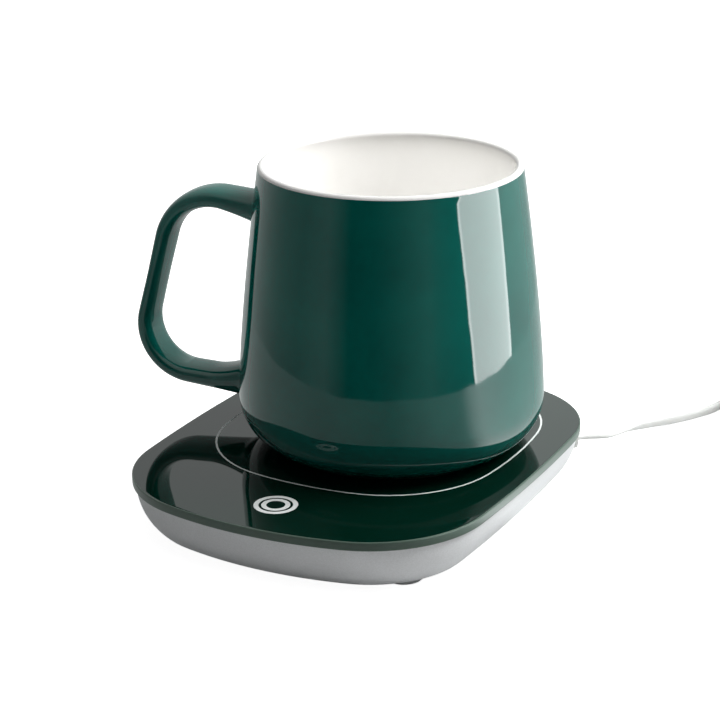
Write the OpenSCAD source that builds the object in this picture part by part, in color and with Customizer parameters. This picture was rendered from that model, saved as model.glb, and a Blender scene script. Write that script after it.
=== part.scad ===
// Electric mug warmer with its ceramic mug: a glass-topped pad with a heater and a touch key, and its lead.
// Millimetres. The table is z = 0, the middle of the pad is x = y = 0, and the touch key is at -Y.

/* [Mug] */
// Outer diameter at the rim
rim_d = 80; // [74:1:86]
// Height of the mug
mug_h = 88; // [78:0.1:100]
// Largest outer diameter, just above the rounded foot
belly_d = 94.8; // [88:0.2:104]
// Radius that rounds the belly into the foot
belly_round_r = 15.5; // [11:0.5:20]
// How late the side starts to draw in towards the rim
side_power = 1.39; // [1.1:0.01:1.8]
// Wall thickness of the mug, low on its side
mug_wall = 4; // [3:0.25:5]
// Wall thickness at the lip
mug_lip_t = 2.6; // [2:0.1:4]
// Thickness of the mug's bottom
mug_bottom_t = 6; // [5:0.25:8]
// Width of the ring that the mug stands on
foot_ring_w = 3; // [2:0.25:5]
// Depth of the hollow inside that ring
foot_hollow = 1.2; // [0.6:0.1:2]
// Place of the mug across the pad
mug_x = 5.4; // [-4:0.1:8]
// Place of the mug along the pad
mug_y = 9.5; // [2:0.1:16]
// Direction that the handle points, from +X
handle_turn = 187; // [170:0.1:270]

/* [Handle] */
// Thickness of the upper arm at the wall, seen from the handle's side
handle_top_t = 8.7; // [6:0.1:10]
// Thickness of the grip
handle_grip_t = 4.6; // [4:0.1:8]
// Thickness of the lower arm at the wall
handle_low_t = 7.7; // [5:0.1:9]
// Width of the handle
handle_w = 13.25; // [9:0.25:16]
// Drop from the rim to the middle of the upper corner
handle_top_drop = 13.3; // [10:0.1:18]
// Fall of the upper arm from its corner to the wall
handle_top_fall = 4.4; // [0:0.1:7]
// How far the upper corner stands out past the belly
handle_top_out = 23.4; // [18:0.1:30]
// How far the lower corner stands out past the belly
handle_low_out = 39.8; // [30:0.1:46]
// Height of the lower arm's middle where it meets the belly
handle_low_z = 12.2; // [10:0.1:20]
// Rise of the lower arm from the belly out to its corner
handle_low_rise = 2.6; // [0:0.1:6]
// Radius of the handle's upper corner
upper_bend_r = 18.75; // [12:0.25:22]
// Radius of the handle's lower corner
lower_bend_r = 15.75; // [10:0.25:18]
// How much thicker the upper arm is where it joins the wall
upper_flare = 1.15; // [1:0.05:1.8]
// How much thicker the lower arm is where it joins the wall
lower_flare = 1.6; // [1:0.05:1.8]

/* [Pad] */
// Width of the glass
pad_w = 115.7; // [112:0.1:126]
// Depth of the glass, front to back
pad_d = 143.8; // [138:0.1:156]
// Radius of the four corners
pad_corner_r = 37; // [33:0.5:40]
// Radius of the long sides' slight bow
pad_side_bow = 600; // [400:10:900]
// Radius of the front and back bow
pad_end_bow = 120; // [100:1:160]
// Thickness of the glass
glass_t = 2.8; // [2:0.1:4]
// Chamfer along the edges of the glass
glass_chamfer = 0.35; // [0.2:0.05:0.6]
// Height of the shell under the glass
shell_h = 14.2; // [13.6:0.1:18]
// How far the shell's side draws in towards its bottom
shell_draw = 6.9; // [5:0.1:8]
// Wall and floor thickness of the shell
shell_wall = 2; // [1.6:0.1:2.4]
// How far the glass stands out over the shell
glass_overhang = 1.1; // [0.6:0.1:2]

/* [Marks on the glass] */
// Width of the warm zone's outline
zone_w = 94.6; // [88:0.2:98]
// Depth of the warm zone's outline
zone_d = 101.8; // [94:0.2:106]
// Place of the warm zone and the heater along the pad
zone_y = 12.3; // [9:0.1:13]
// Corner radius of the warm zone's outline
zone_corner_r = 36.3; // [30:0.5:40]
// Bow radius of the warm zone's sides
zone_side_bow = 147; // [120:1:200]
// Bow radius of the warm zone's ends
zone_end_bow = 105; // [90:1:150]
// Width of the warm zone's line
zone_line_w = 0.6; // [0.4:0.05:1.2]
// Distance of the touch key's middle from the front edge of the glass
key_in = 17.6; // [16:0.1:20]
// Outer diameter of the touch key's mark
key_d = 13; // [10:0.25:15]
// Depth of the marks in the glass
mark_t = 0.15; // [0.1:0.01:0.3]

/* [Feet] */
// Diameter of the rubber feet
foot_d = 12; // [10:0.5:13]
// How far the feet show under the shell
foot_show = 1.5; // [1:0.1:3]
// Depth of the feet's seats in the shell
foot_seat = 0.8; // [0.5:0.1:1]
// Distance of the feet and the case screws from the corner centres
foot_reach = 22; // [21:0.25:22.5]
// Direction of the front feet from the corner centres, from the pad's width
front_foot_turn = 38; // [34:1:44]
// Direction of the back feet, which leave room for the lead's port
back_foot_turn = 62; // [60:1:65]

/* [Heater] */
// Diameter of the aluminium plate
plate_d = 82; // [74:1:84]
// Thickness of the aluminium plate
plate_t = 2; // [1.5:0.1:2.2]
// Thickness of the heating film
film_t = 0.5; // [0.3:0.05:0.6]
// Diameter of the heating film, the felt and the steel disc under them
stack_d = 80; // [70:1:82]
// Thickness of the felt
felt_t = 4; // [3.5:0.1:4.2]
// Thickness of the steel disc
retainer_t = 0.8; // [0.6:0.1:1]
// Distance of the steel disc's ears from its middle
ear_reach = 46; // [45.5:0.25:47]

/* [Electronics] */
// Width of the circuit board
board_w = 50; // [49:0.5:51]
// Depth of the circuit board
board_d = 22; // [21.5:0.5:23]
// Thickness of the circuit board
board_t = 1.6; // [1:0.1:1.8]
// Height of the posts under the circuit board
post_h = 2.5; // [2:0.1:3]
// Diameter of the touch spring
spring_d = 8; // [6:0.25:9]
// Wire diameter of the touch spring
spring_wire_d = 0.6; // [0.4:0.05:0.8]
// Number of curls in the touch spring
spring_curls = 5; // [4:1:6]

/* [Lead] */
// Diameter of the lead
cord_d = 3.2; // [2.8:0.1:3.4]
// Height of the lead's exit over the table
cord_exit_z = 9; // [8.8:0.1:9.5]
// Direction of the lead's exit from the corner centre
cord_turn = 38; // [36:0.5:39]
// Turns of the coil's spiral in each layer
coil_layer_turns = 2; // [1:1:3]
// Radius of the coil's outermost turn
coil_out_r = 22.2; // [20:0.1:24]
// Step between turns
coil_step = 4.4; // [4.2:0.1:5]
// Step between layers
coil_rise = 3.8; // [3.7:0.05:4.2]
// Thickness of the tie around the coil
tie_t = 0.6; // [0.4:0.1:1]

/* [Hidden] */
$fn = 96;

// Heights of the pad's layers, from the table up
floor_z = foot_show;
inside_z = floor_z + shell_wall;
glass_z = floor_z + shell_h;
top_z = glass_z + glass_t;
gasket_t = 0.3;
flange_t = 1.5;
gasket_z = glass_z - gasket_t;
flange_z = gasket_z - flange_t;
plate_z = glass_z - plate_t;
film_z = plate_z - film_t;
felt_z = film_z - felt_t;
retainer_z = felt_z - retainer_t;
board_z = inside_z + post_h;
board_top = board_z + board_t;

// Shape of the shell's side: an arc that is upright at the top
side_r = (shell_h * shell_h + shell_draw * shell_draw) / (2 * shell_draw);
side_steps = 8;
side_bow_steps = 6;
end_bow_steps = 10;
corner_steps = 12;

// Fits and cutting allowances
fit_gap = 0.3;
foot_gap = 0.15;
felt_room = 0.1;
tie_room = 0.1;
cut = 1;
far = 60;

// Screws: shank, head and head height, large for the case and small for the rest
case_screw = [2.5, 5, 1.6];
small_screw = [2, 3.8, 1.3];
boss_d = 8;
seat_d = 10;
seat_h = 2;
head_gap = 0.2;
case_screw_l = 6.5;
case_seat_z = floor_z + foot_seat + head_gap + case_screw[2];
small_screw_l = 4.2;
bore_spare = 0.4;
post_bore_deep = 0.8;
ear_d = 8;
ear_post_d = 7;
gasket_w = 5;
ear_angles = [110, 230, 350];
post_d = 5;
post_in = 3;

// Mug
rim_r = rim_d / 2;
belly_r = belly_d / 2;
foot_r = belly_r - belly_round_r;
lip_r = mug_lip_t / 2;
profile_steps = 20;
round_steps = 10;
handle_section_sides = 20;
handle_roundness = 2.6;
handle_line_steps = 5;
handle_bend_steps = 9;
flare_l = 13.5;

// Circuit board and what stands on it
key_y = key_in - pad_d / 2;
board_front = key_y - 6;
board_back = board_front + board_d;
connector = [6, 4.5, 5];
connector_x = [-14, 0, 14];
connector_margin = 0.3;
connector_y = board_back - connector.y / 2 - connector_margin;
connector_back = connector_y + connector.y / 2;
chip_x = -13;
capacitor_margin = 0.8;
transistor_x = 13;
wire_z = board_top + connector.z / 2;
wire_d = 1.2;
wire_pitch = 2;
spring_h = glass_z - board_top;
window_d = plate_d + 2;
key_window_d = spring_d + 6;
sensor_d = 3;
sensor_h = 3;
fuse_d = 3.4;
fuse_l = 11;
fuse_end_room = 2;
fuse_lead_out = 1;
film_tab = [fuse_l + 2 * fuse_end_room, 3.5];
film_tab_root = 10;
fuse_lead_x = [-fuse_l / 2 - fuse_lead_out, fuse_l / 2 + fuse_lead_out];
fuse_y = zone_y - 24;

// Lead: where it leaves, and its way over the table to the coil
corner = corner_centre(pad_w / 2, pad_d / 2, pad_corner_r, pad_side_bow, pad_end_bow);
exit_way = [cos(cord_turn), sin(cord_turn), 0];
gland_collar_t = 1.2;
gland_collar_d = 7;
gland_neck_d = 5;
port_d = 9;
gland_out = pad_corner_r;
port_out = gland_out - gland_collar_t;
port_l = 5.6;
port_in = port_out - port_l;
clamp_size = [4, 13, 2.6];
clamp_in = 24.6;
clamp_screw_y = 4.4;
clamp_screw_grip = 3.5;
clamp_drop = 0.4;
clamp_split_z = cord_exit_z - clamp_drop;
jacket_in = 23.5;
exit_point = on_exit(gland_out);
lay_z = 1.7;
coil_x = 99.2;
coil_y = 136;
coil_z = cord_d / 2 + tie_t + tie_room;
coil_in_r = coil_out_r - coil_step * coil_layer_turns;
coil_layers = 4;
loop_rings = 24;
cord_sides = 8;
coil_sides = 6;
coil_start = [coil_x - coil_out_r, coil_y - cord_d, coil_z];
coil_end = [coil_x + coil_out_r, coil_y - cord_d, coil_z + coil_rise * (coil_layers - 1)];
cord_route = concat(
    [exit_point, exit_point + 2 * exit_way, exit_point + 4 * exit_way],
    [[57, 61.5, 8.8], [58.5, 68, 7.8], [59, 76, 6], [59.5, 84, 4.3], [61.3, 92.5, 2.8], [65.7, 101, 1.9],
     [70.8, 109.4, lay_z], [75.2, 117.9, 1.9]],
    [coil_start + [0, -2 * cord_d, 0], coil_start + [0, -cord_d, 0], coil_start]
);
plug_z = 4;
plug_x = coil_end.x;
relief_end = [plug_x, 95, plug_z];
cord_tail_route = concat(
    [coil_end, coil_end + [0, -cord_d, 0], coil_end + [0, -2 * cord_d, 0]],
    [[plug_x, 120, 11.8], [plug_x, 113, 8.6], [plug_x, 106, 5.2]],
    [relief_end + [0, 2 * cord_d, 0], relief_end + [0, cord_d, 0], relief_end]
);

// Plug
relief_l = 10;
relief_d = [cord_d + 0.8, 6.5];
grip = [16, 21, 8];
grip_r = 2.5;
usb = [12, 18.8, 4.5];
usb_wall = 0.35;
tongue_t = 1.9;
tongue_in = 0.5;
contact = [1, 9, 0.2];
contact_x = [-3.5, -1, 1, 3.5];
contact_in = 2;

// Centre of the corner arc of an outline whose sides and ends are bowed; w and h are its half sizes
function corner_centre(w, h, r, side_bow, end_bow) =
    let (ox = w - side_bow, oy = h - end_bow, l = norm([ox, oy]), ux = -ox / l, uy = oy / l,
        a = (pow(side_bow - r, 2) - pow(end_bow - r, 2) + l * l) / (2 * l),
        k = sqrt(pow(side_bow - r, 2) - a * a))
    [ox + ux * a - uy * k, uy * a + ux * k];

// Point on the line by which the lead leaves, at a distance from the corner centre
function on_exit(reach) = [corner.x, corner.y, cord_exit_z] + reach * exit_way;

// Radius of the mug's outside at a height over its foot
function mug_r(z) =
    z < belly_round_r
    ? foot_r + sqrt(pow(belly_round_r, 2) - pow(belly_round_r - z, 2))
    : belly_r + (rim_r - belly_r) * pow((z - belly_round_r) / (mug_h - belly_round_r), side_power);

function unit(v) = v / norm(v);
function heading(p, i) = unit(p[min(i + 1, len(p) - 1)] - p[max(i - 1, 0)]);

// Length of a route, and its least distance to itself less the tube, leaving out neighbours along it
function route_length(p) = norm_sum([for (i = [1 : len(p) - 1]) norm(p[i] - p[i - 1])]);
function norm_sum(v) = v * [for (i = v) 1];
function least_gap(p, d, apart) =
    min([for (i = [0 : len(p) - 1 - apart]) for (j = [i + apart : len(p) - 1]) norm(p[i] - p[j])]) - d;

// Smooth curve through a list of points, with steps between each pair
function curve_point(p, i, t) =
    let (a = p[max(i - 1, 0)], b = p[i], c = p[i + 1], e = p[min(i + 2, len(p) - 1)])
    b + 0.5 * t * ((c - a) + t * ((2 * a - 5 * b + 4 * c - e) + t * (3 * b - a - 3 * c + e)));
function smooth(p, steps) = concat(
    [for (i = [0 : len(p) - 2]) for (s = [0 : steps - 1]) curve_point(p, i, s / steps)],
    [p[len(p) - 1]]
);

// Coil: spirals in, out, in and out again, and climbs a layer in the half turn where it reverses
function coil_turn_part(t) = floor(t / (coil_layer_turns + 0.5));
function coil_in_part(t) = t - coil_turn_part(t) * (coil_layer_turns + 0.5);
function coil_r(t) =
    let (part = coil_turn_part(t), inward = part % 2 == 0, along = min(coil_in_part(t), coil_layer_turns))
    inward ? coil_out_r - coil_step * along : coil_in_r + coil_step * along;
function coil_lift(t) =
    let (climb = max(0, coil_in_part(t) - coil_layer_turns) * 2)
    coil_rise * (coil_turn_part(t) + (1 - cos(180 * climb)) / 2);
coil_turns = coil_layers * coil_layer_turns + (coil_layers - 1) / 2;
coil_path = concat(
    [coil_start],
    [for (i = [0 : coil_turns * loop_rings])
        let (t = i / loop_rings, a = 180 - 360 * t)
        [coil_x + coil_r(t) * cos(a), coil_y + coil_r(t) * sin(a), coil_z + coil_lift(t)]],
    [coil_end]
);

// Touch spring: a helix between the board and the glass
spring_rings = 10;
spring_path = [for (i = [0 : spring_curls * spring_rings])
    let (t = i / (spring_curls * spring_rings), a = 360 * spring_curls * t)
    [(spring_d - spring_wire_d) / 2 * cos(a), key_y + (spring_d - spring_wire_d) / 2 * sin(a),
     board_top + spring_wire_d / 2 + (spring_h - spring_wire_d) * t]];

free_path = smooth(cord_route, 2);
tail_path = smooth(cord_tail_route, 2);
echo(coil_gap = least_gap(coil_path, cord_d, loop_rings / 2));
echo(spring_gap = least_gap(spring_path, spring_wire_d, spring_rings / 2));
echo(cord_length = route_length(free_path) + route_length(coil_path) + route_length(tail_path));

// Points of an arc, without its last one
function arc(mid, r, from, to, steps) =
    [for (i = [0 : steps - 1]) let (a = from + (to - from) * i / steps) mid + r * [cos(a), sin(a)]];

// Points round an outline with bowed sides and round corners, clockwise from above; w and h are half sizes
function bowed_ring(w, h, r, side_bow, end_bow) =
    let (q = corner_centre(w, h, r, side_bow, end_bow), bow_x = w - side_bow, bow_y = h - end_bow,
        a = -atan2(q.y, q.x - bow_x), b = -atan2(q.y - bow_y, q.x))
    concat(
        arc([bow_x, 0], side_bow, -a, a, side_bow_steps),
        arc([q.x, -q.y], r, a, b, corner_steps),
        arc([0, -bow_y], end_bow, b, -180 - b, end_bow_steps),
        arc([-q.x, -q.y], r, -180 - b, -180 - a, corner_steps),
        arc([-bow_x, 0], side_bow, -180 - a, -180 + a, side_bow_steps),
        arc([-q.x, q.y], r, -180 + a, -180 + b, corner_steps),
        arc([0, bow_y], end_bow, -180 + b, -360 - b, end_bow_steps),
        arc([q.x, q.y], r, -360 - b, -360 - a, corner_steps)
    );

// Points round the pad and round the warm zone, drawn in by a distance
function pad_ring(inset) = bowed_ring(pad_w / 2 - inset, pad_d / 2 - inset, pad_corner_r - inset,
    pad_side_bow - inset, pad_end_bow - inset);
function zone_ring(inset) = bowed_ring(zone_w / 2 - inset, zone_d / 2 - inset, zone_corner_r - inset,
    zone_side_bow - inset, zone_end_bow - inset);

// Closed skin over the pad's outline at levels, each a distance in from the outline and a height
module pad_skin(levels) {
    rings = [for (level = levels) [for (p = pad_ring(level[0])) [p.x, p.y, level[1]]]];
    skin([for (ring = rings) each ring], len(rings), len(rings[0]));
}

// Places up the shell's side, drawn in by a wall: distance in from the outline of the glass, and height
function side_points(wall, low_z) =
    let (r = side_r - wall, low_a = asin((glass_z - low_z) / r))
    [for (i = [0 : side_steps]) let (a = low_a * (1 - i / side_steps))
        [glass_overhang + side_r - r * cos(a), glass_z - r * sin(a)]];

// Bowl of the shell: up its outside, over the rim and down its inside
module shell_bowl() {
    inside = side_points(shell_wall, inside_z);
    pad_skin(concat(side_points(0, floor_z), [for (i = [side_steps : -1 : 0]) inside[i]]));
}

// Screw along +Z, its head below the point where it bears
module screw(size, length) {
    translate([0, 0, -size[2]]) cylinder(d = size[1], h = size[2]);
    cylinder(d = size[0], h = length);
}

// Rectangle with round corners, in the middle of the origin
module rounded_rect(w, h, r) {
    square([w, h - 2 * r], center = true);
    for (m = [0, 1]) mirror([0, m]) translate([-w / 2 + r, h / 2 - r]) square([w - 2 * r, r]);
    for (mx = [0, 1], my = [0, 1]) mirror([mx, 0]) mirror([0, my]) translate([w / 2 - r, h / 2 - r])
        intersection() {
            circle(r);
            square([r, r]);
        }
}

// Tube along a path, with flat ends; a level cord keeps one corner of its section up
module tube(path, d, sides) {
    rings = len(path);
    points = [for (i = [0 : rings - 1])
        let (way = heading(path, i), across = unit(cross(way, [0, -0.001, 1])), up = cross(across, way))
        for (s = [0 : sides - 1])
            let (a = 360 * s / sides) path[i] + d / 2 * (cos(a) * across + sin(a) * up)];
    skin(points, rings, sides);
}

// Closed skin of triangles over rings of points
module skin(points, rings, sides) {
    last = (rings - 1) * sides;
    polyhedron(points, concat(
        [for (i = [0 : rings - 2]) for (s = [0 : sides - 1])
            each let (a = i * sides + s, b = i * sides + (s + 1) % sides)
            [[a, b, a + sides], [b, b + sides, a + sides]]],
        [for (s = [1 : sides - 2]) [0, s + 1, s]],
        [for (s = [1 : sides - 2]) [last, last + s, last + s + 1]]
    ));
}

// Places that repeat
module at_feet() {
    for (mx = [0, 1], my = [0, 1]) mirror([mx, 0, 0]) mirror([0, my, 0]) {
        turn = my == 0 ? back_foot_turn : front_foot_turn;
        translate([corner.x + foot_reach * cos(turn), corner.y + foot_reach * sin(turn), 0]) children();
    }
}

module at_ears() {
    for (a = ear_angles) translate([ear_reach * cos(a), zone_y + ear_reach * sin(a), 0]) children();
}

module at_board_posts() {
    for (side = [-1, 1], y = [board_front + post_in, board_back - post_in])
        translate([side * (board_w / 2 - post_in), y, 0]) children();
}

module at_exit(reach, z) {
    translate([on_exit(reach).x, on_exit(reach).y, z]) rotate([0, 0, cord_turn]) children();
}

module at_clamp_screws() {
    for (side = [-1, 1]) at_exit(clamp_in + clamp_size.x / 2, 0)
        translate([0, side * clamp_screw_y, 0]) children();
}

module at_mug() {
    translate([mug_x, mug_y, top_z]) rotate([0, 0, handle_turn]) children();
}

// Rod along the lead's exit line
module exit_rod(from, to, d) {
    at_exit(from, cord_exit_z) rotate([0, 90, 0]) cylinder(d = d, h = to - from);
}

// Outline of the mug's outside, from the axis of the foot to the rim
function mug_side() = concat(
    [for (i = [0 : round_steps]) let (a = 90 * i / round_steps)
        [foot_r + belly_round_r * sin(a), belly_round_r * (1 - cos(a))]],
    [for (i = [1 : profile_steps])
        let (z = belly_round_r + (mug_h - lip_r - belly_round_r) * i / profile_steps) [mug_r(z), z]]
);

// Outline of the mug's inside, from the lip to the axis of the bottom
function mug_inside() =
    let (inner_round = belly_round_r - mug_wall / 2, low = mug_bottom_t + inner_round,
        r = mug_r(low) - mug_wall)
    concat(
        [for (i = [profile_steps : -1 : 1])
            let (f = i / profile_steps, z = low + (mug_h - lip_r - low) * f)
            [mug_r(z) - mug_wall + (mug_wall - mug_lip_t) * f, z]],
        [for (i = [round_steps : -1 : 0])
            let (a = 90 * i / round_steps) [r - inner_round * (1 - sin(a)), low - inner_round * cos(a)]]
    );

module mug_body() {
    lip_mid = mug_r(mug_h - lip_r) - lip_r;
    color("darkslategray") at_mug() rotate_extrude() {
        polygon(concat(
            [[0, mug_bottom_t], [0, foot_hollow], [foot_r - foot_ring_w - foot_hollow, foot_hollow],
             [foot_r - foot_ring_w, 0]],
            mug_side(),
            mug_inside()
        ));
        translate([lip_mid, mug_h - lip_r]) intersection() {
            circle(lip_r);
            translate([-lip_r, 0]) square([2 * lip_r, lip_r]);
        }
    }
}

// Middle line of the handle in its own plane: two arms and a leaning grip, with round corners
handle_corners = [
    [rim_r - mug_wall / 2, mug_h - handle_top_drop - handle_top_fall],
    [belly_r + handle_top_out, mug_h - handle_top_drop],
    [belly_r + handle_low_out, handle_low_z + handle_low_rise],
    [belly_r - mug_wall, handle_low_z - handle_low_rise * mug_wall / handle_low_out]
];

// Arc that rounds corner i of a line of points
function bend(p, i, r, steps) =
    let (u = unit(p[i - 1] - p[i]), v = unit(p[i + 1] - p[i]), half = acos(u * v) / 2,
        mid = p[i] + unit(u + v) * r / sin(half), a = p[i] + u * r / tan(half) - mid, sweep = 180 - 2 * half,
        turn = u.x * v.y - u.y * v.x > 0 ? -1 : 1)
    [for (s = [0 : steps])
        let (f = turn * sweep * s / steps) mid + [a.x * cos(f) - a.y * sin(f), a.x * sin(f) + a.y * cos(f)]];
function between(a, b, steps) = [for (s = [0 : steps - 1]) a + (b - a) * s / steps];
upper_bend = bend(handle_corners, 1, upper_bend_r, handle_bend_steps);
lower_bend = bend(handle_corners, 2, lower_bend_r, handle_bend_steps);
handle_line = concat(
    between(handle_corners[0], upper_bend[0], 2 * handle_line_steps),
    [for (i = [0 : handle_bend_steps - 1]) upper_bend[i]],
    between(upper_bend[handle_bend_steps], lower_bend[0], handle_line_steps),
    [for (i = [0 : handle_bend_steps - 1]) lower_bend[i]],
    between(lower_bend[handle_bend_steps], handle_corners[3], 2 * handle_line_steps),
    [handle_corners[3]]
);

// Growth of the handle's section near the wall, on the side of each arm that faces the other
function flare(p, most) =
    let (off = max(0, p.x - mug_r(p.y)), f = max(0, 1 - off / flare_l))
    1 + (most - 1) * pow(f, 1.6);

module mug_handle() {
    n = handle_section_sides;
    points = [for (i = [0 : len(handle_line) - 1])
        let (p = handle_line[i], way = heading(handle_line, i), out = [way.y, -way.x],
            half = 2 * i / (len(handle_line) - 1) - 1, upper = half < 0,
            t = handle_grip_t + ((upper ? handle_top_t : handle_low_t) - handle_grip_t) * abs(half),
            k = flare(p, upper ? upper_flare : lower_flare), shift = (upper ? -1 : 1) * (k - 1) * t / 2)
        for (s = [0 : n - 1])
            let (c = cos(360 * s / n), d = sin(360 * s / n),
                a = -k * t / 2 * sign(c) * pow(abs(c), 2 / handle_roundness),
                b = sqrt(k) * handle_w / 2 * sign(d) * pow(abs(d), 2 / handle_roundness))
            [p.x + a * out.x, b, p.y + a * out.y + shift]];
    color("darkslategray") at_mug() difference() {
        skin(points, len(handle_line), n);
        rotate_extrude() polygon(concat([[0, 0]], mug_side(), [[0, mug_h - lip_r]]));
    }
}

module glass_top() {
    c = glass_chamfer;
    color([0.02, 0.1, 0.07]) difference() {
        pad_skin([[c, glass_z], [0, glass_z + c], [0, top_z - c], [c, top_z]]);
        translate([0, 0, top_z - mark_t]) linear_extrude(mark_t + cut) {
            zone_line_2d();
            touch_symbol_2d();
        }
    }
}

module zone_line_2d() {
    translate([0, zone_y]) difference() {
        polygon(zone_ring(0));
        polygon(zone_ring(zone_line_w));
    }
}

// Two rings, one in the other
module touch_symbol_2d() {
    for (ring = [[1, 0.775], [0.655, 0.43]]) translate([0, key_y]) difference() {
        circle(d = key_d * ring[0]);
        circle(d = key_d * ring[1]);
    }
}

module zone_line() {
    color("white") translate([0, 0, top_z - mark_t]) linear_extrude(mark_t) zone_line_2d();
}

module touch_symbol() {
    color("white") translate([0, 0, top_z - mark_t]) linear_extrude(mark_t) touch_symbol_2d();
}

module base_shell() {
    color("silver") difference() {
        union() {
            shell_bowl();
            at_feet() translate([0, 0, floor_z + shell_wall / 2])
                cylinder(d = seat_d, h = shell_wall / 2 + seat_h);
            at_board_posts() translate([0, 0, floor_z + shell_wall / 2])
                cylinder(d = post_d, h = shell_wall / 2 + post_h);
            exit_rod(port_in, port_out, port_d);
            at_exit(clamp_in, floor_z + shell_wall / 2) translate([0, -clamp_size.y / 2, 0])
                cube([clamp_size.x, clamp_size.y, clamp_split_z - floor_z - shell_wall / 2]);
        }
        at_feet() {
            translate([0, 0, floor_z - cut]) cylinder(d = foot_d + 2 * foot_gap, h = cut + foot_seat);
            translate([0, 0, floor_z]) cylinder(d = case_screw[1] + fit_gap, h = case_seat_z - floor_z);
            translate([0, 0, floor_z]) cylinder(d = case_screw[0] + fit_gap, h = far);
        }
        at_board_posts() translate([0, 0, inside_z - post_bore_deep]) cylinder(d = small_screw[0], h = far);
        at_clamp_screws() translate([0, 0, inside_z]) cylinder(d = small_screw[0], h = far);
        exit_rod(port_in - cut, port_out + cut, gland_neck_d);
        exit_rod(clamp_in - cut, port_in, cord_d);
    }
}

module glass_carrier() {
    color("dimgray") difference() {
        union() {
            translate([0, 0, flange_z]) linear_extrude(flange_t)
                polygon(pad_ring(glass_overhang + shell_wall + fit_gap));
            at_feet() translate([0, 0, inside_z + seat_h])
                cylinder(d = boss_d, h = flange_z - inside_z - seat_h + cut);
            at_ears() translate([0, 0, felt_z]) cylinder(d = ear_post_d, h = flange_z - felt_z + cut);
        }
        translate([0, zone_y, flange_z - far / 2]) cylinder(d = window_d, h = far);
        translate([0, key_y, flange_z - cut]) cylinder(d = key_window_d, h = flange_t + 2 * cut);
        at_feet() translate([0, 0, case_seat_z]) cylinder(d = case_screw[0], h = case_screw_l + bore_spare);
        at_ears() translate([0, 0, felt_z - cut]) cylinder(d = small_screw[0], h = cut + small_screw_l);
    }
}

module glass_gasket() {
    color("black") translate([0, 0, gasket_z]) linear_extrude(gasket_t) difference() {
        polygon(pad_ring(glass_overhang + shell_wall + 2 * fit_gap));
        polygon(pad_ring(glass_overhang + shell_wall + 2 * fit_gap + gasket_w));
    }
}

module stack_disc(d, z, t) {
    translate([0, zone_y, z]) cylinder(d = d, h = t);
}

module heater_plate() {
    color("lightgray") stack_disc(plate_d, plate_z, plate_t);
}

module heater_film() {
    color("orange") {
        stack_disc(stack_d, film_z, film_t);
        translate([-film_tab.x / 2, zone_y - stack_d / 2 - film_tab.y, film_z])
            cube([film_tab.x, film_tab.y + film_tab_root, film_t]);
    }
}

// Room for the fuse and its leads in the felt
module fuse_room() {
    groove = wire_d + 2 * felt_room;
    translate([-fuse_l / 2 - fuse_end_room, fuse_y - fuse_d / 2 - felt_room, felt_z - cut])
        cube([fuse_l + 2 * fuse_end_room, fuse_d + 2 * felt_room, felt_t + 2 * cut]);
    for (x = fuse_lead_x) translate([x - groove / 2, zone_y - stack_d / 2 - cut, film_z - groove])
        cube([groove, fuse_y - zone_y + stack_d / 2 + cut, groove + cut]);
}

module insulation_felt() {
    color("ivory") difference() {
        stack_disc(stack_d, felt_z, felt_t);
        stack_disc(sensor_d, felt_z - cut, felt_t + 2 * cut);
        fuse_room();
    }
}

module heater_retainer() {
    color("gainsboro") difference() {
        union() {
            stack_disc(stack_d, retainer_z, retainer_t);
            for (a = ear_angles) translate([0, zone_y, retainer_z]) rotate([0, 0, a]) {
                translate([ear_reach, 0, 0]) cylinder(d = ear_d, h = retainer_t);
                translate([stack_d / 4, -ear_d / 2, 0]) cube([ear_reach - stack_d / 4, ear_d, retainer_t]);
            }
        }
        stack_disc(sensor_d, retainer_z - cut, retainer_t + 2 * cut);
        at_ears() translate([0, 0, retainer_z - cut])
            cylinder(d = small_screw[0] + fit_gap, h = retainer_t + 2 * cut);
    }
}

module retainer_screws() {
    color("silver") at_ears() translate([0, 0, retainer_z]) screw(small_screw, small_screw_l);
}

module thermistor() {
    color("black") stack_disc(sensor_d, film_z - sensor_h, sensor_h);
}

module thermal_fuse() {
    lead_z = film_z - wire_d / 2 - felt_room;
    turn_r = wire_d / 2;
    color("tan") {
        translate([-fuse_l / 2, fuse_y, film_z - fuse_d / 2]) rotate([0, 90, 0])
            cylinder(d = fuse_d, h = fuse_l);
        for (x = fuse_lead_x)
            tube([[x - sign(x) * 2 * fuse_lead_out, fuse_y, lead_z], [x - sign(x) * turn_r, fuse_y, lead_z],
                [x, fuse_y - turn_r, lead_z], [x, zone_y - stack_d / 2 - film_tab.y / 2, lead_z]],
                wire_d, coil_sides);
    }
}

module control_board() {
    color("seagreen") difference() {
        translate([-board_w / 2, board_front, board_z]) cube([board_w, board_d, board_t]);
        at_board_posts() translate([0, 0, board_z - cut])
            cylinder(d = small_screw[0] + fit_gap, h = board_t + 2 * cut);
    }
}

module touch_spring() {
    color("silver") tube(spring_path, spring_wire_d, coil_sides);
}

module indicator_led() {
    size = [3, 2.8, 1.4];
    color("white") translate([-size.x / 2, key_y - size.y / 2, board_top]) cube(size);
}

module control_chip() {
    body = [5, 4, 1.5];
    pin = [0.4, 1, 0.6];
    pin_pitch = 1.27;
    color("black") translate([chip_x, board_front + board_d / 2, board_top]) {
        translate([-body.x / 2, -body.y / 2, 0]) cube(body);
        for (i = [-1.5 : 1.5], m = [0, 1]) mirror([0, m, 0])
            translate([i * pin_pitch - pin.x / 2, body.y / 2, 0]) cube(pin);
    }
}

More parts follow.
